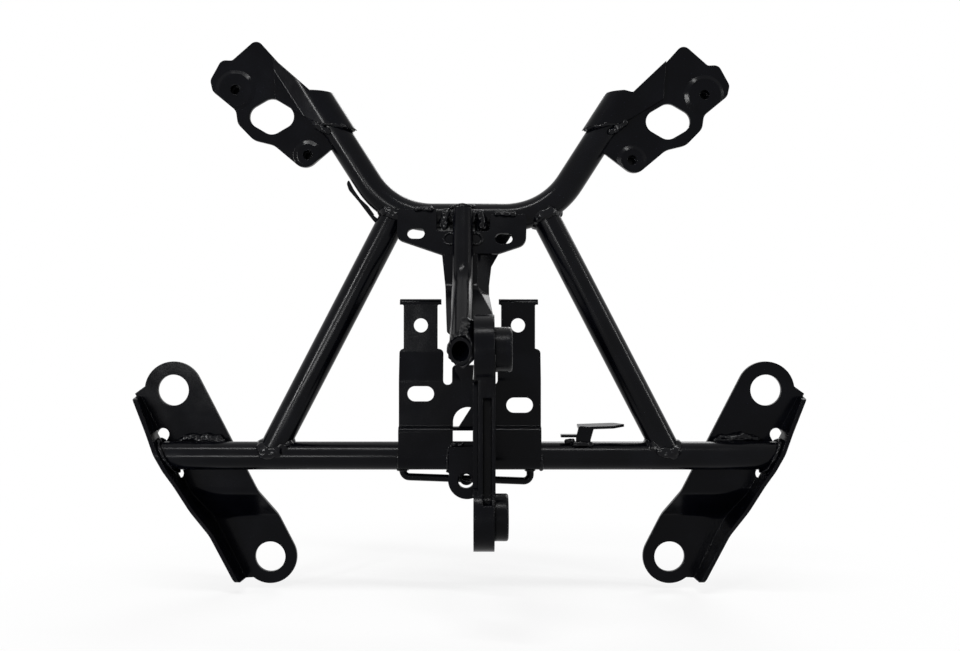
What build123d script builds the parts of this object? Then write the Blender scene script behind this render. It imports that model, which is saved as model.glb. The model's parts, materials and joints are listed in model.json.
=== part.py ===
from build123d import *
import os
from math import acos, atan2, cos, degrees, hypot, radians, sin, tan

# Front fairing stay of a motorcycle: a welded frame of bent steel tube and pressed sheet.
# Working frame, millimetres: X to the right, Y forward on the bike, Z up,
# with the cross tube's axis at Y = Z = 0 and the stay's middle plane at X = 0.
# The rider's side, which carries the head bracket, is -Y.

# Main tubes
tube_d = 19.1
tube_wall = 2.0
foot_x = 136.0
shoulder_x = 51.8
bar_z = 162.3
bar_corner_x = 53.3
bar_bend = 51.5
arm_lean = 32.7
arm_top_z = 246.0
diagonal_overrun = 8.0

# Side brackets
side_sheet = 2.8
side_fold = 3.0
side_hole_d = 21.4
side_top_x, side_top_z, side_top_r = 204.9, 44.0, 19.8
side_low_x, side_low_z, side_low_r = 142.0, -75.7, 18.9
side_joggle = 20.0
joggle_top_z, joggle_low_z = -26.0, -46.0
joggle_bend = 7.0
flange_x, flange_slope = 206.6, 0.52
flange_top_z, flange_low_z = 40.3, -91.0
relief_length, relief_width = 12.4, 8.4
relief_high_x, relief_high_z = 5.5, 11.8
relief_low_x, relief_low_z = 1.4, -15.3

# Mirror plates and the straps that hold them on the arms
mirror_sheet = 2.6
mirror_front_y = -6.0
mirror_at = {"left": (158.0, 247.8), "right": (158.8, 244.4)}
mirror_bolt_d = 6.4
mirror_second_x, mirror_second_z = 49.0, -44.0
emboss_r = (13.5, 10.0)
emboss_h, emboss_taper = 1.4, 62
window_x, window_z = 24.5, -17.9
window_half_w, window_half_h, window_r = 22.8, 13.3, 8
strap_sheet, strap_gap = 2.6, 0.3
strap_top_z = 246.6
strap_knee, strap_flat = 1.3, 45.0
nut_flats, nut_height, nut_bore = 10.0, 6.5, mirror_bolt_d

# Meter plate under the upper bar
meter_sheet = 2.3
meter_tilt = 20.0
meter_slot_length, meter_slot_width = 11.5, 7.8
meter_slots = ((-35.4, -17.4), (23.1, -21.0))

# Pillar, from the upper bar back to the head bracket
pillar_d, pillar_wall = 13.3, 1.6
pillar_x = -4.1
pillar_drop = 4.0
pillar_straight = 53.9
pillar_bend = 30.0
pillar_end_y, pillar_end_z = -104.0, 73.8
pillar_weld = 1.2

# Head bracket and its two bushes
head_y, head_top_z, head_low_z = -95.0, 74.6, -23.8
head_top_r, head_low_r = 20.5, 19.8
head_left_x, head_low_left_x, head_right_x = 3.7, 3.4, 15.6
strut_left_x, strut_right_x = 6.0, 16.2
strut_back_y, strut_front_y = -86.0, -108.0
groove_left_x, groove_width, groove_depth = 8.9, 5.1, 6.0
groove_top_z, groove_low_z = 47.0, -14.0
bush_bore_d, bush_spigot_d = 10.5, 17.0
top_bush_d, top_bush_length = 26.4, 10.4
low_bush_d, low_bush_length = 27.6, 8.2
bush_edge_r = 1.5

# Channel behind and under the pillar
channel_sheet = 2.3
channel_fold_x = 5.6
channel_bend = 12.0
channel_flange = 8.0
channel_lap = 0.3

# Centre bracket
centre_sheet = 2.3
centre_wrap = 42.0
shelf_z, shelf_step = 20.5, 6.0
joggle_start_z, joggle_end_z, stem_step = 52.0, 70.0, 5.0
stem_top_z, top_lip = 106.8, 9.0
tab_x, tab_z, tab_hole_d = 33.1, 88.8, 9.6
centre_slot_length, centre_slot_width = 18.0, 10.3
arch_x, arch_r, arch_low_z, arch_top_z = -1.0, 10.0, 11.0, 33.5

# Ear and link plates
ear_sheet = 4.0
ear_x, ear_z, ear_r = -1.5, -14.4, 12.6
ear_hole_x, ear_hole_z, ear_hole_d = -2.2, -14.6, 10.7
ear_top_z = 8.0
link_sheet = 3.0
link_top_z, foot_top_z = 57.0, 62.0
lip_taper = 2.2

# Small pieces
guard_d = 5.0
guard_left_x, guard_left_z = -45.3, -14.3
guard_right_x, guard_right_z = 41.4, -17.4
guard_bend = 4.5
clip_sheet, clip_back_y = 1.8, -4.2
hook_sheet, hook_back_y = 3.0, 1.5
bead, foot_weld = 2.4, 3.2

tube_r = tube_d / 2
pillar_r = pillar_d / 2
side_front_y = tube_r
centre_front_y = -tube_r - centre_sheet
shelf_y = centre_front_y + shelf_step
stem_y = shelf_y + stem_step
far = 400.0
both_sides = ("left", "right")

meter_plane = Plane(
    origin=(0, -tube_r * cos(radians(meter_tilt)), bar_z + tube_r * sin(radians(meter_tilt))),
    x_dir=(1, 0, 0),
    z_dir=(0, -cos(radians(meter_tilt)), sin(radians(meter_tilt))),
)


def on_front(sketch, back_y, depth):
    """Solid drawn on X and Z, from back_y towards the rider by depth."""
    return extrude(Plane.XZ.offset(-back_y) * sketch, amount=depth)


def on_side(sketch, left_x, width):
    """Solid drawn on Y and Z, from left_x to the right by width."""
    return extrude(Plane.YZ.offset(left_x) * sketch, amount=width)


def through(sketch):
    """Solid drawn on X and Z that runs through the whole stay."""
    return on_front(sketch, far / 2, far)


def outline(corners):
    """Closed face from rows of x, y and corner radius."""
    points = [(x, y) for x, y, _ in corners]
    return make_face(FilletPolyline(*points, radius=[r for _, _, r in corners], close=True))


def bent_strip(points, radius, thickness):
    """Section of a folded sheet whose middle line runs through the points."""
    return trace(FilletPolyline(*points, radius=radius), line_width=thickness)


def curved_strip(inner, outer, start, span):
    """Section of a rolled sheet between two radii, angles in degrees."""
    return trace(CenterArc((0, 0), (inner + outer) / 2, start, span), line_width=outer - inner)


def round_bar(start, end, radius):
    run = Vector(*end) - Vector(*start)
    return extrude(Plane(origin=start, z_dir=run) * Circle(radius), amount=run.length)


def bent_bar(points, bend, radius):
    path = FilletPolyline(*points, radius=bend)
    return sweep((path ^ 0) * Circle(radius), path=path)


def main_solid(shape):
    """The largest solid, without the offcuts that a coped end leaves."""
    return max(shape.solids(), key=lambda solid: solid.volume)


def on_side_of(shape, side):
    """Paired pieces are drawn on the left."""
    return shape if side == "left" else mirror(shape, about=Plane.YZ)


def arm_x(z):
    """Distance of an arm's axis from the middle plane at height z."""
    return bar_corner_x + (z - bar_z) * tan(radians(arm_lean))


def flange_at(z):
    """Distance of a flange's inner face from the middle plane at height z."""
    return flange_x + flange_slope * z


def flange_band(first, last):
    """Slanted slab between two distances from the flange's inner face, outward."""
    stretch = hypot(1, flange_slope)
    rows = [(first, -far), (last, -far), (last, far), (first, far)]
    return through(make_face(Polyline(*[(-flange_at(z) - out * stretch, z) for out, z in rows], close=True)))


# Tubes


def cross_tube_body(radius):
    reach = flange_at(tube_r) + tube_d
    return round_bar((-reach, 0, 0), (reach, 0, 0), radius)


def upper_bar_body(radius):
    top = arm_top_z + tube_d
    corners = [(-arm_x(top), 0, top), (-bar_corner_x, 0, bar_z), (bar_corner_x, 0, bar_z), (arm_x(top), 0, top)]
    return bent_bar(corners, bar_bend, radius)


def diagonal_body(radius, overrun):
    start = Vector(-foot_x, 0, 0)
    run = Vector(-shoulder_x, 0, bar_z) - start
    end = start + run + run.normalized() * overrun
    return round_bar(tuple(start), tuple(end), radius)


def cross_tube(brackets):
    tube = cross_tube_body(tube_r) - cross_tube_body(tube_r - tube_wall)
    for side in both_sides:
        tube -= on_side_of(flange_band(0, far / 2), side)
        tube -= brackets[side]
    return main_solid(tube)


def above_arms():
    return Pos(0, 0, arm_top_z + far / 2) * Box(far, far, far)


def upper_bar():
    return upper_bar_body(tube_r) - upper_bar_body(tube_r - tube_wall) - above_arms()


def diagonal(side):
    tube = diagonal_body(tube_r, diagonal_overrun)
    tube = main_solid(tube - cross_tube_body(tube_r) - upper_bar_body(tube_r))
    return on_side_of(tube - diagonal_body(tube_r - tube_wall, 2 * diagonal_overrun), side)


# Side brackets


def side_section():
    """Joggled section of a side bracket's face, on Y and Z."""
    middle = side_front_y + side_sheet / 2
    points = [
        (middle, side_top_z + 2 * side_top_r),
        (middle, joggle_top_z),
        (middle + side_joggle, joggle_low_z),
        (middle + side_joggle, side_low_z - 2 * side_low_r),
    ]
    return bent_strip(points, joggle_bend, side_sheet)


def side_face_outline():
    lean = atan2(flange_slope, 1)
    top_edge = (-side_top_x + side_top_r * cos(lean), side_top_z + side_top_r * sin(lean))
    low_edge = (-side_low_x + side_low_r * cos(lean), side_low_z + side_low_r * sin(lean))
    web = [
        top_edge,
        low_edge,
        (-side_low_x, side_low_z),
        (-side_low_x - 0.62 * side_low_r, side_low_z - 0.78 * side_low_r),
        (-flange_at(flange_low_z) + 3.5, flange_low_z + 0.5),
        (-flange_at(flange_low_z) - 2 * side_sheet, flange_low_z),
        (-flange_at(flange_top_z) - 2 * side_sheet, flange_top_z),
        (-side_top_x - side_top_r, side_top_z + 2.5),
        (-side_top_x, side_top_z),
    ]
    face = make_face(Polyline(*web, close=True))
    face += Pos(-side_top_x, side_top_z) * Circle(side_top_r)
    face += Pos(-side_low_x, side_low_z) * Circle(side_low_r)
    return face


def flange_outline():
    """Side view of the flange on Y and Z, deepest where it covers the tube's end."""
    back = side_front_y + side_sheet
    corners = [
        (back, flange_top_z, 0),
        (-1.0, flange_top_z - 2.0, 3),
        (-9.0, 16.0, 20),
        (-15.5, 2.0, 8),
        (-14.0, -9.0, 8),
        (-8.5, -20.0, 15),
        (-3.0, -38.0, 20),
        (9.5, -57.0, 12),
        (10.5, flange_low_z + 1.0, 4),
        (back + side_joggle, flange_low_z, 0),
        (back + side_joggle, joggle_low_z - 1.0, 6),
        (back, joggle_top_z - 1.0, 6),
    ]
    return outline(corners)


def side_bracket(side):
    face = on_side(side_section(), -far, far) & through(side_face_outline())
    face -= flange_band(side_sheet, far)
    flange = on_side(flange_outline(), -far, far) & flange_band(0, side_sheet)
    bracket = main_solid(face + flange)
    for inset, z in ((relief_high_x, relief_high_z), (relief_low_x, relief_low_z)):
        slot = Pos(inset - flange_at(z) - 2 * side_sheet, z) * Rot(0, 0, 62) * SlotOverall(relief_length, relief_width)
        bracket -= on_front(slot, side_front_y + side_sheet + 1, side_sheet + 5)
    for x, z in ((-side_top_x, side_top_z), (-side_low_x, side_low_z)):
        bracket -= through(Pos(x, z) * Circle(side_hole_d / 2))
    return on_side_of(main_solid(bracket), side)


# Mirror plates


def mirror_outline(side):
    """Left plate's front view; corners are given from the outer bolt hole, inward and up."""
    x, z = mirror_at[side]
    corners = [
        (14.3, 34.7, 5),
        (58.0, -13.5, 0),
        (x - arm_x(z - 34.0), -34.0, 0),
        (47.0, -55.0, 9),
        (25.8, -37.2, 12),
        (12.2, -33.9, 10),
        (1.4, -22.8, 8),
        (0.2, -13.8, 6),
        (-15.6, -0.8, 6),
        (-17.2, 6.6, 5),
        (-9.7, 20.3, 5),
        (-2.4, 20.0, 3),
    ]
    return Pos(-x, z) * outline(corners)


def mirror_window(side):
    x, z = mirror_at[side]
    corners = [
        (window_x - window_half_w, window_z, window_r),
        (window_x, window_z + window_half_h, window_r),
        (window_x + window_half_w, window_z, window_r),
        (window_x, window_z - window_half_h, window_r),
    ]
    return Pos(-x, z) * outline(corners)


def mirror_holes(side):
    """Centres of the two bolt holes, on X and Z, for the left plate."""
    x, z = mirror_at[side]
    return [(-x, z), (-x + mirror_second_x, z + mirror_second_z)]


def mirror_plate(side):
    blank = mirror_outline(side) - mirror_window(side)
    plate = on_front(blank, mirror_front_y + mirror_sheet, mirror_sheet)
    front = Plane.XZ.offset(-mirror_front_y)
    for (x, z), radius in zip(mirror_holes(side), emboss_r):
        raised = extrude(front * (Pos(x, z) * Circle(radius)), amount=emboss_h, taper=emboss_taper)
        plate += raised & through(blank)
    for x, z in mirror_holes(side):
        plate -= through(Pos(x, z) * Circle(mirror_bolt_d / 2))
    plate = main_solid(plate - upper_bar_body(tube_r))
    return on_side_of(plate, side)


def weld_nut(side, x, z):
    hexagon = RegularPolygon(nut_flats / 2, 6, major_radius=False) - Circle(nut_bore / 2)
    back_y = mirror_front_y + mirror_sheet + nut_height
    return on_side_of(on_front(Pos(x, z) * hexagon, back_y, nut_height), side)


# Saddle straps


def arm_plane():
    """Section across the left arm: x outward from the arm, y towards the rider."""
    lean = radians(arm_lean)
    return Plane(
        origin=(-arm_x(strap_top_z), 0, strap_top_z),
        x_dir=(-cos(lean), 0, -sin(lean)),
        z_dir=(-sin(lean), 0, cos(lean)),
    )


def strap_section():
    """Wraps the arm's inner side and front, then runs out flat onto the mirror plate."""
    inner = tube_r + strap_gap
    middle = inner + strap_sheet / 2
    flat_y = -mirror_front_y + strap_sheet / 2
    knee_x = strap_knee * hypot(middle, flat_y) / 1.4
    leave = degrees(atan2(flat_y, knee_x) + acos(middle / hypot(knee_x, flat_y)))
    band = curved_strip(inner, inner + strap_sheet, leave, 190 - leave)
    start = (middle * cos(radians(leave)), middle * sin(radians(leave)))
    return band + bent_strip([start, (knee_x, flat_y), (strap_flat, flat_y)], 3, strap_sheet)


def strap_outline(side):
    low_edge = [(-131.0, 241.5), (-108.5, 228.0), (-101.0, 224.5), (-90.0, 224.0), (-77.0, 221.8), (-60.0, 221.8)]
    top_edge = {
        "left": [(-60.0, strap_top_z), (-107.0, strap_top_z), (-132.5, 269.0)],
        "right": [(-60.0, strap_top_z), (-104.0, strap_top_z), (-109.6, strap_top_z - 1.6), (-132.5, 266.9)],
    }
    return make_face(Polyline(*low_edge, *top_edge[side], close=True))


def along_arm(section):
    return extrude(arm_plane() * section, amount=far / 5, both=True)


def saddle_strap(side):
    strap = main_solid(along_arm(strap_section()) & through(strap_outline(side)))
    return on_side_of(strap, side)


def strap_bead(side):
    """Bead under the strap, round the arm's front and inner side."""
    corners = [(-100.5, 225.0), (-90.0, 225.0), (-77.5, 222.5), (-70.0, 222.5), (-70.0, 208.5)]
    corners += [(-78.0, 211.0), (-90.0, 218.0), (-101.0, 220.5)]
    ring = curved_strip(tube_r, tube_r + strap_gap + strap_sheet, 60, 130)
    fillet_weld = along_arm(ring) & through(make_face(Polyline(*corners, close=True)))
    return on_side_of(main_solid(fillet_weld - through(strap_outline(side))), side)


# Meter plate


def meter_outline():
    """Left to right and down from the line where the plate lies on the bar."""
    corners = [
        (-48.0, 0.8, 2),
        (-21.8, 0.8, 2),
        (-21.8, -15.7, 3),
        (13.9, -15.7, 3),
        (13.9, -3.0, 2),
        (38.5, -3.0, 3),
        (37.7, -25.2, 7),
        (19.1, -31.9, 3),
        (-17.2, -32.8, 3),
        (-48.0, -21.4, 6),
    ]
    return outline(corners)


def meter_plate():
    face = meter_outline()
    for x, y in meter_slots:
        face -= Pos(x, y) * SlotOverall(meter_slot_length, meter_slot_width)
    plate = extrude(meter_plane * face, amount=meter_sheet) - upper_bar_body(tube_r)
    for side in both_sides:
        plate -= on_side_of(diagonal_body(tube_r, 0), side)
    return main_solid(plate)


# Pillar


def pillar_points():
    """Top end, elbow and lower end of the pillar's axis."""
    down = (-sin(radians(meter_tilt)), -cos(radians(meter_tilt)))
    off = tube_r + meter_sheet + pillar_r
    start = (down[1] * off, bar_z - down[0] * off)
    top = (pillar_x, start[0] + down[0] * pillar_drop, start[1] + down[1] * pillar_drop)
    elbow = (pillar_x, start[0] + down[0] * pillar_straight, start[1] + down[1] * pillar_straight)
    return [top, elbow, (pillar_x, pillar_end_y, pillar_end_z)]


def pillar_body(radius):
    """Bent bar on the pillar's axis, its lower end cut upright towards the rider."""
    top, elbow, end = [Vector(*point) for point in pillar_points()]
    past = end + (end - elbow).normalized() * pillar_d
    bar = bent_bar([tuple(top), tuple(elbow), tuple(past)], pillar_bend, radius)
    return bar - Pos(pillar_x, pillar_end_y - far / 2, pillar_end_z) * Box(far, far, far)


def pillar_tube():
    return pillar_body(pillar_r) - pillar_body(pillar_r - pillar_wall)


# Head bracket


def head_bracket():
    upper = on_side(Pos(head_y, head_top_z) * Circle(head_top_r), head_left_x, head_right_x - head_left_x)
    lower = on_side(Pos(head_y, head_low_z) * Circle(head_low_r), head_low_left_x, head_right_x - head_low_left_x)
    strut_middle = (strut_back_y + strut_front_y) / 2
    strut_z = (head_top_z + head_low_z) / 2
    strut = Pos(strut_middle, strut_z) * Rectangle(strut_back_y - strut_front_y, head_top_z - head_low_z)
    body = upper + lower + on_side(strut, strut_left_x, strut_right_x - strut_left_x)
    groove_back = strut_front_y + groove_depth
    groove_front = head_y - 2 * head_top_r
    corners = [
        (groove_front, groove_top_z, 0),
        (groove_back, groove_top_z, groove_depth - 1),
        (groove_back, groove_low_z, groove_depth - 1),
        (groove_front, groove_low_z, 0),
    ]
    body -= on_side(outline(corners), groove_left_x, groove_width)
    for z, collar_d in ((head_top_z, top_bush_d), (head_low_z, low_bush_d)):
        body -= on_side(Pos(head_y, z) * Circle(bush_spigot_d / 2), 0, far)
        body -= on_side(Pos(head_y, z) * Circle(collar_d / 2), head_right_x, far)
    return main_solid(body)


def head_bush(z, left_x, collar_d, collar_length):
    spigot = on_side(Pos(head_y, z) * Circle(bush_spigot_d / 2), left_x, head_right_x - left_x)
    collar = on_side(Pos(head_y, z) * Circle(collar_d / 2), head_right_x, collar_length)
    collar = fillet(collar.faces().sort_by(Axis.X)[-1].edges(), bush_edge_r)
    return spigot + collar - on_side(Pos(head_y, z) * Circle(bush_bore_d / 2), 0, far)


# Channel behind and under the pillar


def run_directions():
    """Directions on Y and Z down the pillar's upper and lower runs."""
    _, elbow, end = [Vector(*point) for point in pillar_points()]
    upper = Vector(0, -sin(radians(meter_tilt)), -cos(radians(meter_tilt)))
    return upper, (end - elbow).normalized()


def channel_point(x, down, depth):
    """Point on the channel: down the upper run from the elbow's fold, and depth behind the web's front."""
    upper, lower = run_directions()
    corner = Vector(*pillar_points()[1]) + fold_offset(pillar_r)
    back = Vector(0, -upper.Z, upper.Y)
    spot = corner + upper * down + back * depth
    return (x, spot.Y, spot.Z)


def fold_offset(distance):
    """From the elbow to the corner of two walls that stand this far behind both runs."""
    upper, lower = run_directions()
    bisector = Vector(0, -upper.Z - lower.Z, upper.Y + lower.Y).normalized()
    back = Vector(0, -upper.Z, upper.Y)
    return bisector * (distance / bisector.dot(back))


def web_line():
    """Middle line of the web on Y and Z."""
    upper, lower = run_directions()
    corner = Vector(*pillar_points()[1]) + fold_offset(pillar_r + channel_sheet / 2)
    high = corner - upper * 40.0
    low = corner + lower * 62.0
    return [(spot.Y, spot.Z) for spot in (high, corner, low)]


def panel(points, away):
    """Flat wall of the channel behind a front face with these corners."""
    spots = [Vector(*point) for point in points]
    normal = (spots[1] - spots[0]).cross(spots[2] - spots[1]).normalized()
    if normal.dot(away) < 0:
        normal = -normal
    return extrude(make_face(Polyline(*points, close=True)), amount=channel_sheet, dir=normal)


def channel_web():
    corners = [
        (-18.6, 142.0, 0),
        (-15.3, 112.9, 20),
        (-13.6, 92.0, 0),
        (-12.9, 84.5, 2),
        (-8.0, 81.0, 0),
        (head_right_x, 81.0, 0),
        (head_right_x, 95.2, 4),
        (channel_fold_x, 114.5, 6),
        (channel_fold_x, 142.0, 0),
    ]
    strip = on_side(bent_strip(web_line(), channel_bend, channel_sheet), -far / 4, far / 2)
    return strip & through(outline(corners))


def channel_wing():
    """Wall that slants back from the web's right fold, up to the upper bar."""
    start = channel_fold_x - channel_lap / 2
    edge = [(13.2, 3.7), (13.2, -4.3), (14.8, -18.6), (20.2, -31.0), (26.5, -43.1), (30.0, -50.8)]
    rows = [(start, 1.2), *edge, (start, -50.0)]
    return [channel_point(x, down, x - channel_fold_x + channel_lap) for x, down in rows]


def channel_gusset():
    """Three-cornered wall between the wing and the web's lower run."""
    upper, lower = run_directions()
    corner = Vector(*channel_point(channel_fold_x - channel_lap, 0, channel_lap))
    ridge_end = corner + lower * 33.0
    outer = channel_point(13.2, 2.5, 13.2 - channel_fold_x + channel_lap)
    return [tuple(corner), outer, (head_right_x - channel_lap, ridge_end.Y, ridge_end.Z)]


def channel_left_flange():
    """Wall bent back along the web's left edge beside the upper run."""
    rows = [(-17.4, -26.0, channel_lap), (-15.0, -1.0, channel_lap)]
    rows += [(-15.0, -1.0, channel_flange), (-17.4, -26.0, channel_flange)]
    return [channel_point(x, down, depth) for x, down, depth in rows]


def pillar_channel():
    back = Vector(0, 1, 0)
    channel = channel_web() + panel(channel_wing(), back) + panel(channel_gusset(), back)
    channel += panel(channel_left_flange(), Vector(1, 0, 0))
    channel -= extrude(meter_plane * meter_outline(), amount=far / 8)
    channel -= upper_bar_body(tube_r)
    channel -= on_side(Pos(head_y, head_top_z) * Circle(head_top_r), head_left_x, head_right_x)
    return main_solid(channel - pillar_body(pillar_r))


# Centre bracket


def centre_section():
    """Folded section on Y and Z: wraps the tube, steps back at the shelf, joggles, ends in a lip."""
    half = centre_sheet / 2
    wrap = curved_strip(tube_r, tube_r + centre_sheet, 178, centre_wrap + 2)
    points = [
        (centre_front_y + half, 0),
        (centre_front_y + half, shelf_z - half),
        (shelf_y + half, shelf_z - half),
        (shelf_y + half, joggle_start_z),
        (stem_y + half, joggle_end_z),
        (stem_y + half, stem_top_z - half),
        (stem_y + half + top_lip, stem_top_z - half),
    ]
    return wrap + bent_strip(points, [2.2, 2.2, 12, 12, 2.5], centre_sheet)


def centre_outline():
    corners = [
        (-47.7, -12.0, 0),
        (-47.7, 72.0, 3),
        (-44.8, 73.0, 0),
        (-44.8, 102.9, 1),
        (-47.4, 102.9, 0),
        (-47.4, 108.0, 0),
        (-19.1, 108.0, 0),
        (-19.1, 102.9, 0),
        (-21.7, 102.9, 1),
        (-21.7, 73.0, 0),
        (-17.7, 72.0, 3),
        (-17.7, 48.6, 2.8),
        (-11.7, 48.6, 2.8),
        (-11.7, 62.0, 3),
        (12.0, 62.0, 3),
        (12.0, 48.6, 3),
        (19.1, 48.6, 3),
        (19.1, 72.0, 3),
        (21.6, 73.0, 0),
        (21.6, 102.9, 1),
        (20.0, 102.9, 0),
        (20.0, 108.0, 0),
        (46.8, 108.0, 0),
        (46.8, 102.9, 0),
        (44.7, 102.9, 1),
        (44.7, 73.0, 0),
        (48.4, 72.0, 3),
        (48.4, -12.0, 0),
    ]
    return outline(corners)


def arch():
    straight = arch_top_z - arch_r - arch_low_z
    body = Pos(arch_x, arch_low_z + straight / 2) * Rectangle(2 * arch_r, straight)
    return body + Pos(arch_x, arch_top_z - arch_r) * Circle(arch_r)


def centre_bracket():
    bracket = on_side(centre_section(), -far / 2, far) & through(centre_outline())
    for x, z in ((-tab_x, tab_z), (tab_x, tab_z)):
        bracket -= on_front(Pos(x, z) * Circle(tab_hole_d / 2), 5.0, 10.0)
    for x, z in ((-32.9, 42.5), (34.0, 34.8)):
        bracket -= on_front(Pos(x, z) * SlotOverall(centre_slot_length, centre_slot_width), 0.0, 10.0)
    shelf_low_z = shelf_z - centre_sheet
    shelf = Pos(0, 0, shelf_low_z + far / 2) * Box(far, far, far) - Pos(0, 0, shelf_z + far / 2) * Box(far, far, far)
    bracket -= through(arch()) - shelf
    for x, inward in ((-47.4, 1), (-19.1, -1), (20.0, 1), (46.8, -1)):
        back = stem_y + centre_sheet / 2 + top_lip
        wedge = Polyline((x, stem_y + centre_sheet), (x, back), (x + inward * lip_taper, back), close=True)
        bracket -= Pos(0, 0, stem_top_z - centre_sheet - 2) * extrude(make_face(wedge), amount=far / 8)
    return main_solid(bracket)


# Ear and link plates


def ear_plate():
    disc = Pos(ear_x, ear_z) * Circle(ear_r)
    corners = [(-13.5, -14.0), (-13.7, ear_top_z), (strut_left_x - 0.2, ear_top_z), (9.5, -10.0)]
    neck = make_face(Polyline(*corners, close=True))
    face = disc + neck - Pos(ear_hole_x, ear_hole_z) * Circle(ear_hole_d / 2)
    return on_front(face, centre_front_y, ear_sheet)


def link_plate():
    """Wall from the head bracket's strut back to the ear and, with a foot, to the centre bracket's tongue."""
    front = strut_front_y + 5.0
    ear_front_y = centre_front_y - ear_sheet
    corners = [
        (front, link_top_z, 6),
        (shelf_y - 2 * link_sheet, foot_top_z, 4),
        (shelf_y, foot_top_z, 0),
        (shelf_y, shelf_z, 0),
        (centre_front_y, shelf_z, 0),
        (centre_front_y, ear_top_z, 0),
        (ear_front_y, ear_top_z, 0),
        (ear_front_y, -24.0, 4),
        (front, -10.0, 6),
    ]
    left = strut_left_x - link_sheet
    wall = on_side(outline(corners), left, link_sheet)
    foot = [(left, 62.0, 0), (-9.5, 62.0, 0), (-9.5, 58.0, 2), (-4.0, 50.0, 6), (-0.2, 37.0, 0)]
    foot += [(1.3, 33.7, 0), (-7.2, shelf_z, 0), (left, shelf_z, 0)]
    wall += on_front(outline(foot), shelf_y, link_sheet)
    return main_solid(wall - head_bracket())


# Small pieces


def guard_rod():
    points = [
        (guard_left_x, 0, 0),
        (guard_left_x, 0, guard_left_z),
        (guard_right_x, 0, guard_right_z),
        (guard_right_x, 0, 0),
    ]
    return main_solid(bent_bar(points, guard_bend, guard_d / 2) - cross_tube_body(tube_r))


def harness_clip():
    web = outline([(71.7, 4.0, 0), (82.0, 4.0, 0), (82.0, 11.3, 4), (84.4, 19.8, 0), (74.2, 20.9, 2), (72.2, 13.0, 3)])
    clip = on_front(web, clip_back_y, clip_sheet)
    arm = outline([(73.8, -6.0, 0), (97.5, -6.0, 4), (105.4, -0.5, 0), (98.7, 6.0, 5), (73.8, 6.0, 0)])
    tilt = Pos(74.2, 0, 19.6) * Rot(5.0, -2.0, 0) * Pos(-74.2, 0, 0)
    clip += tilt * extrude(arm, amount=clip_sheet / 2, both=True)
    clip += Pos(68.0, -3.0, 13.9) * Box(12.0, 6.0, clip_sheet)
    return main_solid(clip - cross_tube_body(tube_r))


def cable_hook():
    """Leaf-shaped hook beside the bar's left bend, its root on the diagonal."""
    corners = [
        (-60.0, 158.0, 0),
        (-62.0, 156.0, 0),
        (-66.3, 161.0, 6),
        (-75.6, 173.2, 12),
        (-82.1, 180.8, 6),
        (-83.6, 185.4, 3),
        (-82.2, 188.0, 0.6),
        (-78.8, 181.4, 6),
        (-74.5, 175.2, 10),
        (-68.9, 170.0, 5),
        (-64.4, 163.6, 3),
    ]
    hook = on_front(outline(corners), hook_back_y, hook_sheet)
    weld = diagonal_body(tube_r + foot_weld, 0) & upper_bar_body(tube_r + foot_weld)
    return main_solid(hook - diagonal_body(tube_r, 0) - upper_bar_body(tube_r) - weld)


# Weld beads


def foot_bead(side):
    """Bead round a diagonal's lower end."""
    ring = diagonal_body(tube_r + foot_weld, 0) & cross_tube_body(tube_r + foot_weld)
    return on_side_of(main_solid(ring - diagonal_body(tube_r, 0) - cross_tube_body(tube_r)), side)


def shoulder_bead(side):
    """Bead round a diagonal's upper end."""
    ring = diagonal_body(tube_r + foot_weld, 0) & upper_bar_body(tube_r + foot_weld)
    return on_side_of(main_solid(ring - diagonal_body(tube_r, diagonal_overrun) - upper_bar_body(tube_r)), side)


def tube_end_bead(side):
    """Bead round the cross tube's end, on the flange."""
    ring = (cross_tube_body(tube_r + bead) - cross_tube_body(tube_r)) & flange_band(-bead, 0)
    behind = Pos(0, side_front_y - side_fold + far / 2, 0) * Box(2 * far, far, far)
    return on_side_of(main_solid(ring - behind), side)


def tube_back_bead(side):
    """Seam above the tube on the bracket's face."""
    seam = Pos(-178.5, side_front_y - 3.0, 8.0) * Box(21.0, 6.0, 16.0)
    return on_side_of(main_solid(seam & (cross_tube_body(tube_r + bead) - cross_tube_body(tube_r))), side)


def pillar_top_bead():
    """Bead between the pillar's top and the upper bar."""
    top, elbow, _ = pillar_points()
    run = (Vector(*elbow) - Vector(*top)).normalized()
    start = Vector(*top) - run * 1.5
    ring = round_bar(tuple(start), tuple(Vector(*top) + run * 12.0), pillar_r + bead)
    weld = ring & upper_bar_body(tube_r + meter_sheet + 2 * bead)
    return main_solid(weld - pillar_body(pillar_r) - upper_bar_body(tube_r) - extrude(meter_plane * meter_outline(), amount=meter_sheet))


def pillar_end_bead():
    """Bead round the pillar's lower end and along the upper eye's left face."""
    ring = pillar_body(pillar_r + pillar_weld) & (Pos(pillar_x, pillar_end_y + 2.0, 0) * Box(far, 4.0, far))
    eye = on_side(Pos(head_y, head_top_z) * Circle(head_top_r - 0.6), pillar_x, head_left_x - pillar_x)
    weld = ring + (pillar_body(pillar_r + bead) & eye)
    weld -= pillar_body(pillar_r)
    weld -= on_side(Pos(head_y, head_top_z) * Circle(head_top_r), head_left_x, far)
    return main_solid(weld - channel_web())


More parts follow.
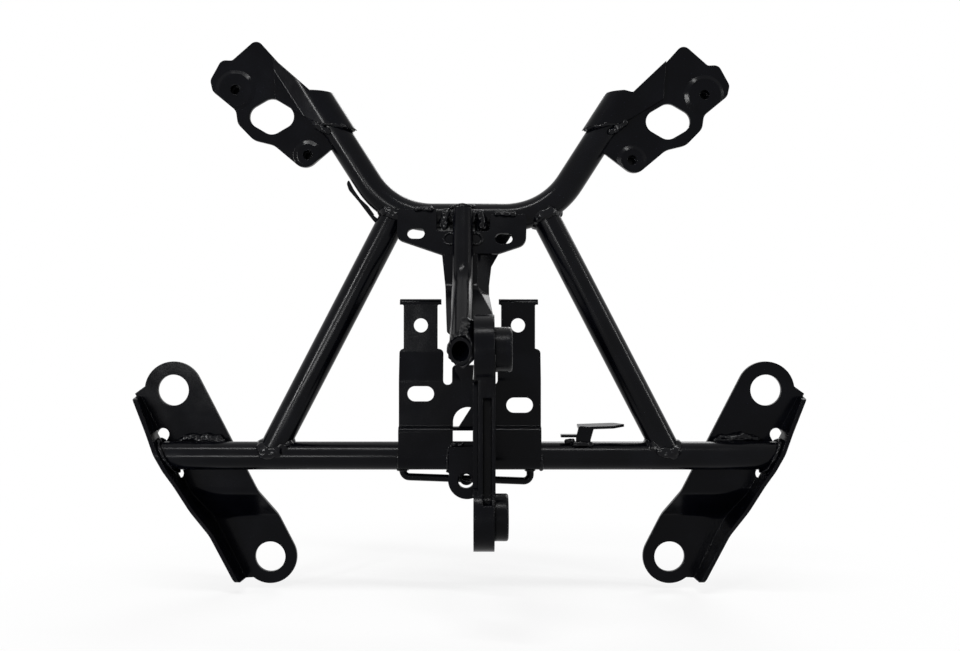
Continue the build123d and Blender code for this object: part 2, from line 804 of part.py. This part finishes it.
def build():
    brackets = {side: side_bracket(side) for side in both_sides}
    parts = {
        "cross_tube": cross_tube(brackets),
        "upper_bar": upper_bar(),
        "meter_plate": meter_plate(),
        "pillar_tube": pillar_tube(),
        "head_bracket": head_bracket(),
        "head_bush_upper": head_bush(head_top_z, head_left_x, top_bush_d, top_bush_length),
        "head_bush_lower": head_bush(head_low_z, head_low_left_x, low_bush_d, low_bush_length),
        "pillar_channel": pillar_channel(),
        "centre_bracket": centre_bracket(),
        "ear_plate": ear_plate(),
        "link_plate": link_plate(),
        "guard_rod": guard_rod(),
        "harness_clip": harness_clip(),
        "cable_hook": cable_hook(),
        "pillar_top_bead": pillar_top_bead(),
        "pillar_end_bead": pillar_end_bead(),
    }
    for side in both_sides:
        parts[f"side_bracket_{side}"] = brackets[side]
        parts[f"diagonal_{side}"] = diagonal(side)
        parts[f"mirror_plate_{side}"] = mirror_plate(side)
        parts[f"saddle_strap_{side}"] = saddle_strap(side)
        parts[f"strap_bead_{side}"] = strap_bead(side)
        parts[f"foot_bead_{side}"] = foot_bead(side)
        parts[f"shoulder_bead_{side}"] = shoulder_bead(side)
        parts[f"tube_end_bead_{side}"] = tube_end_bead(side)
        parts[f"tube_back_bead_{side}"] = tube_back_bead(side)
        for number, (x, z) in enumerate(mirror_holes(side), start=1):
            parts[f"weld_nut_{side}_{number}"] = weld_nut(side, x, z)
    return parts


head_centre = Vector(head_right_x, head_y, head_top_z)
os.makedirs("parts", exist_ok=True)
for name, shape in build().items():
    export_step(Pos(*(-head_centre)) * shape, f"parts/{name}.step")
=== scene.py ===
import json
import math

import bmesh
import bpy
from mathutils import Matrix, Vector, noise


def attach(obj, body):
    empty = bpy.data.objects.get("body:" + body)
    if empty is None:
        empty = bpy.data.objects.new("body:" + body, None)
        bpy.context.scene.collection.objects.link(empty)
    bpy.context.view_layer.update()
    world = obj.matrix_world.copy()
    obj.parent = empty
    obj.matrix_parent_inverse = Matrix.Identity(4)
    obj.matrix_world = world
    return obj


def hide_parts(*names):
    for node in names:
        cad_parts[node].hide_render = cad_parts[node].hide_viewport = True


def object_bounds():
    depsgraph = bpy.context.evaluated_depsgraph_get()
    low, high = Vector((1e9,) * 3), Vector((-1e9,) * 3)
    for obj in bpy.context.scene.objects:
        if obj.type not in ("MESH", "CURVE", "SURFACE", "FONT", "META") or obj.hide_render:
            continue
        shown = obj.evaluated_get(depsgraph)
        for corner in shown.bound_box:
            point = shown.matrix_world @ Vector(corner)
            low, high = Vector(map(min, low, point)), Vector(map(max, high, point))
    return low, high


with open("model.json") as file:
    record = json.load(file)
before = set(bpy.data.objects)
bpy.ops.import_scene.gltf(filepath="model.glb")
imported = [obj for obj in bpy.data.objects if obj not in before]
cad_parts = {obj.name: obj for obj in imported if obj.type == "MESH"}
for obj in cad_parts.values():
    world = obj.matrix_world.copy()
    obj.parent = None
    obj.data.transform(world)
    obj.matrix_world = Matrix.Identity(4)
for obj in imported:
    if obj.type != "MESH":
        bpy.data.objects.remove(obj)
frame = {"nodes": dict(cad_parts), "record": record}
cad_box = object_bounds()
nodes = frame["nodes"]

FULL_TURN = 2 * math.pi

# Camera: level, square to the stay, at the distance that the photograph's perspective gives
EYE = Vector((-0.0084, -0.585, 0.0141))
LENS, SENSOR = 37.39, 36.0
CLIP_START = 0.01

# The solids' drawing frame is in millimetres, with the part's origin at HEAD
HEAD = Vector((15.6, -95.0, 74.6))
MM_PER_METRE = 1000.0
SIDES = {"left": -1, "right": 1}

# Black paint: colours, scales of the grain per metre, and depths of the relief in metres
DEEP, DUSTY = (0.0006, 0.0007, 0.0014), (0.0018, 0.0020, 0.0032)
DUST_SCALE, DUST_DETAIL, DUST_LOW, DUST_HIGH = 34.0, 6.0, 0.45, 0.75
SMEAR_SCALE, SMEAR_DETAIL, SMEAR_LOW, SMEAR_HIGH = 55.0, 4.0, 0.3, 0.7
SMOOTHEST, ROUGHEST = 0.75, 1.35
WAVE_SCALE, WAVE_DEPTH = 45.0, 0.001
PEEL_SCALE, PEEL_DEPTH = 650.0, 0.0002
RELIEF_DETAIL = 2.0
EDGE_SAMPLES = 4

# Lumps of the weld seams, in metres, with a finer set on top of them
BEAD_VOXEL, BEAD_LUMP, BEAD_PITCH = 0.0007, 0.0010, 0.0048
SEAM_PITCH = 0.0042
FINE_LUMP, FINE_PITCH = 0.5, 2.3
SMOOTHING, BEAD_ROUNDS, SEAM_ROUNDS = 0.6, 4, 6

# Drops that a seam is built of: spacing and voxel in metres per millimetre of radius
DROP_SPACING, DROP_VOXEL = 0.0007, 0.00022
DROP_SWELL, SWELL_SCALE = 0.25, 260.0

# Coped ends of the diagonals, on the right side, and the upper bar's bend
TUBE_R = 9.55
DIAGONAL_FOOT, DIAGONAL_SHOULDER = (136.0, 0.0, 0.0), (51.8, 0.0, 162.3)
BEND_X, BEND_Z, BEND_R = 25.17, 213.8, 51.5
COPE_STEPS, COPE_REACH, COPE_HALVINGS = 36, 2.4, 24
COPE_SINK, COPE_DROP = 0.84, 1.6
FOOT_WELD_R, FOOT_WELD_LUMP, FOOT_WELD_LOW = 4.4, 0.0011, 3.0
SHOULDER_WELD_R, SHOULDER_WELD_LUMP = 4.2, 0.0010

# Seams that both sides have: the right side's points
STRAP_WELD = ((104.0, -7.6, 226.0), (99.0, -8.2, 221.5), (93.5, -9.2, 218.6))
STRAP_LIP = (
    (98.7, -9.5, 224.4),
    (92.0, -11.0, 224.0),
    (85.3, -9.5, 222.8),
    (80.4, -5.5, 222.2),
    (78.6, 0.0, 221.8),
)
BRACKET_WELD = ((197.0, 7.5, 9.5), (190.0, 7.5, 11.3), (180.0, 7.5, 10.8), (171.0, 7.5, 9.8))

# Their points, radius, lump and the bead that they stand for
PAIRED_SEAMS = {
    "strap_weld": (STRAP_WELD, 3.0, 0.0010, None),
    "strap_lip": (STRAP_LIP, 1.6, 0.0004, "strap_bead"),
    "bracket_weld": (BRACKET_WELD, 3.3, 0.0012, None),
}

# Seams that are there once
ARC_STEPS = 8
BRACKET_RING_R, BRACKET_RING_START, BRACKET_RING_END = 10.6, 172, 238
GUARD_RING_Z, GUARD_RING_R = -9.6, 2.9
CLIP_FRONT = ((70.5, -6.2, 8.4), (76.0, -6.6, 8.8), (83.5, -6.4, 8.2))
CLIP_TONGUE = ((66.0, -4.2, 10.0), (71.0, -4.6, 10.8))
EAR_SEAM = (
    (-14.2, -12.6, -9.0),
    (-14.6, -12.9, -2.0),
    (-14.4, -12.9, 4.0),
    (-11.5, -12.7, 8.6),
    (-4.0, -12.6, 9.0),
)
NOTCH_LEFT = ((-15.4, -12.6, 163.5), (-16.8, -11.6, 158.0), (-15.2, -13.8, 152.5))
NOTCH_RIGHT = ((7.0, -12.6, 162.5), (8.4, -11.6, 157.5), (6.8, -13.8, 152.5))
PILLAR_TOP = ((-11.5, -12.6, 168.0), (-4.0, -13.2, 169.2), (3.5, -12.6, 168.0))
PLATE_LEFT = ((-35.0, -11.4, 166.8), (-24.5, -11.4, 166.9))
PLATE_RIGHT = ((18.5, -12.6, 163.4), (31.0, -12.6, 163.2))

# Meter plate: its top edge and tilt, and how far down its front the arcs turn
PLATE_Y, PLATE_Z, PLATE_TILT = -11.1, 166.4, math.radians(20.0)
PLATE_RING_DROP, PLATE_RING_R = 21.5, 4.2

# Threads: half widths of the ridge at its root and crest, in pitches
THREAD_STEPS = 32
THREAD_ROOT, THREAD_CREST = 0.42, 0.08
NUT_THREAD = {"outer": 3.25, "inner": 2.5, "pitch": 1.0, "length": 5.6}
HEAD_THREAD = {"outer": 5.3, "inner": 4.5, "pitch": 1.5, "length": 19.0}
HEAD_THREAD_START = (5.0, -95.0, 74.6)

# Mirror bolts' X and Z, and where their nuts' threads and closed ends start
MIRROR_BOLTS = {
    "left_1": (-158.0, 247.8),
    "left_2": (-109.0, 203.8),
    "right_1": (158.8, 244.4),
    "right_2": (109.8, 200.4),
}
NUT_THREAD_Y, NUT_END_Y = -2.9, 3.0

# Turned pieces: radius and depth of each corner
TURNED_STEPS = 48
NUT_END_PROFILE = ((0.05, 0.2), (4.2, 0.2), (4.2, 0.9), (3.2, 1.8), (0.05, 2.2))
BOSS_PLACE = (-1.9, -11.6, -13.6)
BOSS_PROFILE = ((2.7, 0.4), (3.1, 0.0), (4.3, 0.0), (4.9, 0.6), (4.9, 9.0), (2.7, 9.0))

# Floor, its shadow and the world
WHITE = (1.0, 1.0, 1.0, 1.0)
FLOOR_GAP, FLOOR_SIZE = 0.004, 6.0
FLOOR_COLOUR, FLOOR_ROUGH, FLOOR_GLOSS = (0.95, 0.95, 0.95, 1.0), 0.9, 0.1
SHADOW_NEAR, SHADOW_FAR, SHADOW_DEPTH = 0.15, 0.40, 0.25
SEEN_STRENGTH, LIT_STRENGTH = 1.0, 0.15

# Lamps: place, aim, width, height and watts
LAMPS = {
    "key": ((-0.15, -0.50, 1.22), (0, 0, 0.05), 1.0, 0.05, 11),
    "strip_left": ((-0.95, -1.05, 0.20), (-0.05, 0, 0), 0.05, 0.7, 13),
    "strip_front": ((-0.41, -1.20, 0.02), (-0.10, 0, -0.05), 0.4, 0.06, 3.5),
    "strip_right": ((1.25, -0.15, 0.30), (0.05, 0, 0), 0.06, 0.7, 5),
    "panel_back": ((0.45, 1.15, 0.75), (0, 0, 0), 0.9, 0.5, 7),
}


def at(x, y, z):
    """Drawing millimetres to the part's metres."""
    return (Vector((x, y, z)) - HEAD) / MM_PER_METRE


def on_side(points, side):
    """The right side's points, or the same points mirrored to the left."""
    return [(SIDES[side] * x, y, z) for x, y, z in points]


def add_object(name, data):
    thing = bpy.data.objects.new(name, data)
    bpy.context.scene.collection.objects.link(thing)
    return thing


def mesh_data(name, mesh):
    data = bpy.data.meshes.new(name)
    mesh.to_mesh(data)
    mesh.free()
    return data


# Node helpers


def new_material(name):
    material = bpy.data.materials.new(name)
    material.use_nodes = True
    tree = material.node_tree
    tree.nodes.clear()
    output = tree.nodes.new("ShaderNodeOutputMaterial")
    shader = tree.nodes.new("ShaderNodeBsdfPrincipled")
    tree.links.new(shader.outputs["BSDF"], output.inputs["Surface"])
    return material, tree, shader


def place(tree):
    """Object coordinates, in metres, the same for all pieces."""
    return tree.nodes.new("ShaderNodeTexCoord").outputs["Object"]


def grain(tree, vector, scale, detail):
    node = tree.nodes.new("ShaderNodeTexNoise")
    node.inputs["Scale"].default_value = scale
    node.inputs["Detail"].default_value = detail
    tree.links.new(vector, node.inputs["Vector"])
    return node.outputs["Fac"]


def remap(tree, value, low, high, new_low, new_high):
    node = tree.nodes.new("ShaderNodeMapRange")
    node.inputs["From Min"].default_value = low
    node.inputs["From Max"].default_value = high
    node.inputs["To Min"].default_value = new_low
    node.inputs["To Max"].default_value = new_high
    tree.links.new(value, node.inputs["Value"])
    return node.outputs["Result"]


def mix_colour(tree, factor, first, second):
    node = tree.nodes.new("ShaderNodeMix")
    node.data_type = "RGBA"
    for socket, colour in (("A", first), ("B", second)):
        target = [s for s in node.inputs if s.name == socket and s.type == "RGBA"][0]
        target.default_value = (*colour, 1.0)
    tree.links.new(factor, node.inputs["Factor"])
    return [s for s in node.outputs if s.type == "RGBA"][0]


def bump(tree, height, strength, distance, normal):
    node = tree.nodes.new("ShaderNodeBump")
    node.inputs["Strength"].default_value = strength
    node.inputs["Distance"].default_value = distance
    tree.links.new(height, node.inputs["Height"])
    tree.links.new(normal, node.inputs["Normal"])
    return node.outputs["Normal"]


def soft_edges(tree, radius):
    node = tree.nodes.new("ShaderNodeBevel")
    node.samples = EDGE_SAMPLES
    node.inputs["Radius"].default_value = radius
    return node.outputs["Normal"]


def mix_shaders(tree, share, first, second, output):
    mixer = tree.nodes.new("ShaderNodeMixShader")
    tree.links.new(share, mixer.inputs["Fac"])
    tree.links.new(first, mixer.inputs[1])
    tree.links.new(second, mixer.inputs[2])
    tree.links.new(mixer.outputs["Shader"], output.inputs["Surface"])


# Paint


def black_paint(name, gloss, rough, peel, waves, edge):
    """Gloss black paint: faint dust, orange peel, slow waves and softened edges."""
    material, tree, shader = new_material(name)
    here = place(tree)
    dust = grain(tree, here, DUST_SCALE, DUST_DETAIL)
    dust = remap(tree, dust, DUST_LOW, DUST_HIGH, 0.0, 1.0)
    tree.links.new(mix_colour(tree, dust, DEEP, DUSTY), shader.inputs["Base Color"])
    smear = grain(tree, here, SMEAR_SCALE, SMEAR_DETAIL)
    smear = remap(tree, smear, SMEAR_LOW, SMEAR_HIGH, rough * SMOOTHEST, rough * ROUGHEST)
    tree.links.new(smear, shader.inputs["Roughness"])
    rounded = soft_edges(tree, edge)
    slow = bump(tree, grain(tree, here, WAVE_SCALE, RELIEF_DETAIL), waves, WAVE_DEPTH, rounded)
    fine = bump(tree, grain(tree, here, PEEL_SCALE, RELIEF_DETAIL), peel, PEEL_DEPTH, slow)
    tree.links.new(fine, shader.inputs["Normal"])
    shader.inputs["Specular IOR Level"].default_value = gloss
    return material


PAINTS = {
    "tube_black": black_paint("tube_paint", gloss=0.09, rough=0.18, peel=0.03, waves=0.05, edge=0.0004),
    "sheet_black": black_paint("sheet_paint", gloss=0.07, rough=0.16, peel=0.05, waves=0.20, edge=0.0008),
    "forged_black": black_paint("forged_paint", gloss=0.07, rough=0.22, peel=0.30, waves=0.40, edge=0.0020),
    "weld_seam": black_paint("weld_paint", gloss=0.13, rough=0.17, peel=0.10, waves=0.20, edge=0.0003),
}


def paint_nodes():
    slots = {row["node"]: row["material_slot"] for row in frame["record"]["subparts"]}
    for name, piece in nodes.items():
        piece.data.materials.clear()
        piece.data.materials.append(PAINTS[slots[name]])


# Lumpy weld seams


def ripple(mesh, lump, pitch):
    """Push a mesh in and out along its normals, as a hand-laid weld."""
    for vertex in mesh.vertices:
        spot = vertex.co / pitch
        height = noise.noise(spot) + FINE_LUMP * noise.noise(spot * FINE_PITCH)
        vertex.co = vertex.co + vertex.normal * (lump * height)
    for polygon in mesh.polygons:
        polygon.use_smooth = True


def remeshed(name, mesh, voxel, rounds):
    """Weld piece with the mesh's form in one smoothed, even skin."""
    piece = add_object(name, mesh)
    remesh = piece.modifiers.new("remesh", "REMESH")
    remesh.mode = "VOXEL"
    remesh.voxel_size = voxel
    smooth = piece.modifiers.new("smooth", "SMOOTH")
    smooth.iterations = rounds
    smooth.factor = SMOOTHING
    graph = bpy.context.evaluated_depsgraph_get()
    baked = bpy.data.meshes.new_from_object(piece.evaluated_get(graph))
    piece.modifiers.clear()
    piece.data = baked
    baked.materials.clear()
    baked.materials.append(PAINTS["weld_seam"])
    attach(piece, "root")
    return piece


def lumpy_bead(name):
    """The node's bead, remeshed and rippled."""
    piece = remeshed(name + "_lumpy", nodes[name].data.copy(), BEAD_VOXEL, BEAD_ROUNDS)
    ripple(piece.data, BEAD_LUMP, BEAD_PITCH)
    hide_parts(name)


def weld_run(name, points, radius, lump, replaced=None):
    """Row of overlapping drops along the points; points and radius in drawing millimetres."""
    mesh = bmesh.new()
    stops = [at(*point) for point in points]
    for first, second in zip(stops, stops[1:]):
        steps = max(1, round((second - first).length / (radius * DROP_SPACING)))
        for step in range(steps):
            spot = first.lerp(second, step / steps)
            swell = 1.0 + DROP_SWELL * noise.noise(spot * SWELL_SCALE)
            matrix = Matrix.Translation(spot) @ Matrix.Scale(radius * swell / MM_PER_METRE, 4)
            bmesh.ops.create_icosphere(mesh, subdivisions=2, radius=1.0, matrix=matrix)
    piece = remeshed(name, mesh_data(name, mesh), radius * DROP_VOXEL, SEAM_ROUNDS)
    ripple(piece.data, lump, SEAM_PITCH)
    if replaced:
        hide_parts(replaced)


def off_cross_tube(spot):
    """Distance from the cross tube's axis."""
    return math.hypot(spot.y, spot.z)


def off_bar_bend(spot):
    """Distance from the upper bar's axis where it bends."""
    return math.hypot(spot.y, math.hypot(abs(spot.x) - BEND_X, spot.z - BEND_Z) - BEND_R)


def cope_points(near_end, far_end, gap_to_other):
    """Where a tube's skin meets another at its near end, found by halving along the skin's lines."""
    start = Vector(near_end)
    run = (Vector(far_end) - start).normalized()
    across = Vector((0, -1, 0))
    beside = run.cross(across)
    points = []
    for step in range(COPE_STEPS + 1):
        angle = FULL_TURN * step / COPE_STEPS
        side = (across * math.cos(angle) + beside * math.sin(angle)) * TUBE_R
        inside, outside = 0.0, COPE_REACH * TUBE_R
        for _ in range(COPE_HALVINGS):
            middle = (inside + outside) / 2
            if gap_to_other(start + side + run * middle) < TUBE_R:
                inside = middle
            else:
                outside = middle
        points.append(tuple(start + side * COPE_SINK + run * (outside - COPE_DROP)))
    return points


def diagonal_welds(side):
    """Seams at the foot and the shoulder of one diagonal; the foot's stays above its low limit."""
    foot, shoulder = on_side((DIAGONAL_FOOT, DIAGONAL_SHOULDER), side)
    low_seam = cope_points(foot, shoulder, off_cross_tube)
    low_seam = [(x, y, max(z, FOOT_WELD_LOW)) for x, y, z in low_seam]
    weld_run(f"foot_weld_{side}", low_seam, FOOT_WELD_R, FOOT_WELD_LUMP, f"foot_bead_{side}")
    high_seam = cope_points(shoulder, foot, off_bar_bend)
    weld_run(f"shoulder_weld_{side}", high_seam, SHOULDER_WELD_R, SHOULDER_WELD_LUMP, f"shoulder_bead_{side}")


def paired_welds(side):
    for name, (points, radius, lump, bead) in PAIRED_SEAMS.items():
        replaced = f"{bead}_{side}" if bead else None
        weld_run(f"{name}_{side}", on_side(points, side), radius, lump, replaced)


def ring_points(centre, radius, start, end, plane):
    """Arc of drawing points; plane names the two axes it turns in, angles in degrees."""
    first, second = ("xyz".index(letter) for letter in plane)
    points = []
    for step in range(ARC_STEPS + 1):
        angle = math.radians(start + (end - start) * step / ARC_STEPS)
        spot = list(centre)
        spot[first] += radius * math.cos(angle)
        spot[second] += radius * math.sin(angle)
        points.append(tuple(spot))
    return points


def bracket_ring(x):
    return ring_points((x, 0, 0), BRACKET_RING_R, BRACKET_RING_START, BRACKET_RING_END, "yz")


def guard_ring(x):
    return ring_points((x, 0, GUARD_RING_Z), GUARD_RING_R, 0, 360, "xy")


def plate_ring(x, start, end):
    """Arc drawn upright, then laid on the tilted meter plate's front beside the pillar."""
    upright = ring_points((x, 0, -PLATE_RING_DROP), PLATE_RING_R, start, end, "xz")
    back, up = math.sin(PLATE_TILT), math.cos(PLATE_TILT)
    return [(x, PLATE_Y + rise * back, PLATE_Z + rise * up) for x, _, rise in upright]


# Points, radius and lump of the seams that are there once
SEAMS = {
    "bracket_end_weld_right": (bracket_ring(48.6), 1.5, 0.0007),
    "bracket_end_weld_left": (bracket_ring(-47.9), 1.2, 0.0006),
    "clip_weld_front": (CLIP_FRONT, 1.7, 0.0008),
    "clip_weld_tongue": (CLIP_TONGUE, 1.6, 0.0007),
    "guard_weld_left": (guard_ring(-45.3), 1.1, 0.0005),
    "guard_weld_right": (guard_ring(41.4), 1.1, 0.0005),
    "ear_weld": (EAR_SEAM, 1.5, 0.0007),
    "notch_weld_left": (NOTCH_LEFT, 3.8, 0.0009),
    "notch_weld_right": (NOTCH_RIGHT, 3.8, 0.0009),
    "pillar_top_weld": (PILLAR_TOP, 1.6, 0.0007),
    "plate_weld_left": (PLATE_LEFT, 1.7, 0.0007),
    "plate_weld_right": (PLATE_RIGHT, 1.8, 0.0008),
    "plate_ring_left": (plate_ring(-12.6, 60, 300), 1.0, 0.0003),
    "plate_ring_right": (plate_ring(4.4, -120, 120), 1.0, 0.0003),
}


def weld_all():
    for side in SIDES:
        diagonal_welds(side)
        paired_welds(side)
    for name in sorted(nodes):
        if "bead" in name and not name.startswith(("foot", "shoulder", "strap")):
            lumpy_bead(name)
    for name, (points, radius, lump) in SEAMS.items():
        weld_run(name, points, radius, lump)


# Threads, closed nut ends and the ear's boss


def skin(mesh, neighbours):
    """Four-sided faces between rings that lie next to each other."""
    for first, second in neighbours:
        for index in range(len(first)):
            follow = (index + 1) % len(first)
            mesh.faces.new((first[index], first[follow], second[follow], second[index]))


def rigid_piece(name, mesh, paint, smooth):
    bmesh.ops.recalc_face_normals(mesh, faces=mesh.faces)
    data = mesh_data(name, mesh)
    for polygon in data.polygons:
        polygon.use_smooth = smooth
    data.materials.append(PAINTS[paint])
    piece = add_object(name, data)
    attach(piece, "root")


def thread(name, start, axis, outer, inner, pitch, length):
    """Helical ridge inside a bore, from its start along the axis; sizes in millimetres."""
    turn = Vector((0, 0, 1)).rotation_difference(Vector(axis)).to_matrix().to_4x4()
    stand = Matrix.Translation(at(*start)) @ turn
    ridge = ((outer, -THREAD_ROOT), (inner, -THREAD_CREST), (inner, THREAD_CREST), (outer, THREAD_ROOT))
    mesh = bmesh.new()
    steps = round(length / pitch * THREAD_STEPS)
    rings = []
    for step in range(steps + 1):
        angle = FULL_TURN * step / THREAD_STEPS
        rise = length * step / steps
        ring = []
        for radius, lift in ridge:
            spot = Vector((radius * math.cos(angle), radius * math.sin(angle), rise + lift * pitch))
            ring.append(mesh.verts.new(stand @ (spot / MM_PER_METRE)))
        rings.append(ring)
    skin(mesh, zip(rings, rings[1:]))
    mesh.faces.new(rings[0][::-1])
    mesh.faces.new(rings[-1])
    rigid_piece(name, mesh, "tube_black", smooth=True)


def turned(name, centre, profile):
    """Closed profile of (radius, depth) turned about the Y axis through the centre."""
    x, y, z = centre
    angles = [FULL_TURN * step / TURNED_STEPS for step in range(TURNED_STEPS)]
    mesh = bmesh.new()
    rings = []
    for radius, depth in profile:
        spots = [at(x + radius * math.cos(a), y + depth, z + radius * math.sin(a)) for a in angles]
        rings.append([mesh.verts.new(spot) for spot in spots])
    skin(mesh, zip(rings, rings[1:] + rings[:1]))
    rigid_piece(name, mesh, "forged_black", smooth=False)


def thread_all():
    turned("ear_boss", BOSS_PLACE, BOSS_PROFILE)
    for label, (x, z) in MIRROR_BOLTS.items():
        thread(f"nut_thread_{label}", (x, NUT_THREAD_Y, z), (0, 1, 0), **NUT_THREAD)
        turned(f"nut_end_{label}", (x, NUT_END_Y, z), NUT_END_PROFILE)
    thread("head_thread_upper", HEAD_THREAD_START, (1, 0, 0), **HEAD_THREAD)


# Floor, world, lamps and camera


def seen_rays(tree):
    """1 on camera, glossy and transmission rays, which see the backdrop as itself."""
    rays = tree.nodes.new("ShaderNodeLightPath")
    total = rays.outputs["Is Camera Ray"]
    for kind in ("Is Glossy Ray", "Is Transmission Ray"):
        node = tree.nodes.new("ShaderNodeMath")
        node.operation = "MAXIMUM"
        tree.links.new(total, node.inputs[0])
        tree.links.new(rays.outputs[kind], node.inputs[1])
        total = node.outputs["Value"]
    return total


def floor_material():
    """Pale and plain, seen as white, with a faint shadow near the part that fades out with distance."""
    material, tree, shader = new_material("floor_white")
    shader.inputs["Base Color"].default_value = FLOOR_COLOUR
    shader.inputs["Roughness"].default_value = FLOOR_ROUGH
    shader.inputs["Specular IOR Level"].default_value = FLOOR_GLOSS
    glow = tree.nodes.new("ShaderNodeEmission")
    glow.inputs["Color"].default_value = WHITE
    distance = tree.nodes.new("ShaderNodeVectorMath")
    distance.operation = "LENGTH"
    tree.links.new(place(tree), distance.inputs[0])
    fade = remap(tree, distance.outputs["Value"], SHADOW_NEAR, SHADOW_FAR, 1.0 - SHADOW_DEPTH, 1.0)
    share = tree.nodes.new("ShaderNodeMath")
    share.operation = "MULTIPLY"
    tree.links.new(fade, share.inputs[0])
    tree.links.new(seen_rays(tree), share.inputs[1])
    output = [node for node in tree.nodes if node.type == "OUTPUT_MATERIAL"][0]
    mix_shaders(tree, share.outputs["Value"], shader.outputs["BSDF"], glow.outputs["Emission"], output)
    return material


def add_floor():
    mesh = bmesh.new()
    bmesh.ops.create_grid(mesh, x_segments=1, y_segments=1, size=FLOOR_SIZE)
    floor = add_object("floor", mesh_data("floor", mesh))
    floor.data.materials.append(floor_material())
    low_corner = cad_box[0]
    floor.location = (0, 0, low_corner[2] - FLOOR_GAP)


def background(tree, strength):
    node = tree.nodes.new("ShaderNodeBackground")
    node.inputs["Color"].default_value = WHITE
    node.inputs["Strength"].default_value = strength
    return node.outputs["Background"]


def add_world():
    """White where it is seen, and much weaker as light on the part."""
    world = bpy.data.worlds.new("studio")
    bpy.context.scene.world = world
    world.use_nodes = True
    tree = world.node_tree
    tree.nodes.clear()
    output = tree.nodes.new("ShaderNodeOutputWorld")
    seen = background(tree, SEEN_STRENGTH)
    lit = background(tree, LIT_STRENGTH)
    mix_shaders(tree, seen_rays(tree), lit, seen, output)


def area_light(name, spot, aim, width, height, watts):
    lamp = bpy.data.lights.new(name, "AREA")
    lamp.shape = "RECTANGLE"
    lamp.size = width
    lamp.size_y = height
    lamp.energy = watts
    holder = add_object(name, lamp)
    holder.location = spot
    holder.rotation_euler = (Vector(aim) - Vector(spot)).to_track_quat("-Z", "Y").to_euler()


def add_camera():
    data = bpy.data.cameras.new("camera")
    data.lens = LENS
    data.sensor_width = SENSOR
    data.clip_start = CLIP_START
    camera = add_object("camera", data)
    camera.location = EYE
    camera.rotation_euler = (math.radians(90), 0, 0)
    bpy.context.scene.camera = camera


paint_nodes()
weld_all()
thread_all()
add_floor()
add_world()
for name, (spot, aim, width, height, watts) in LAMPS.items():
    area_light(name, spot, aim, width, height, watts)
add_camera()
bpy.context.scene.view_settings.view_transform = "Standard"
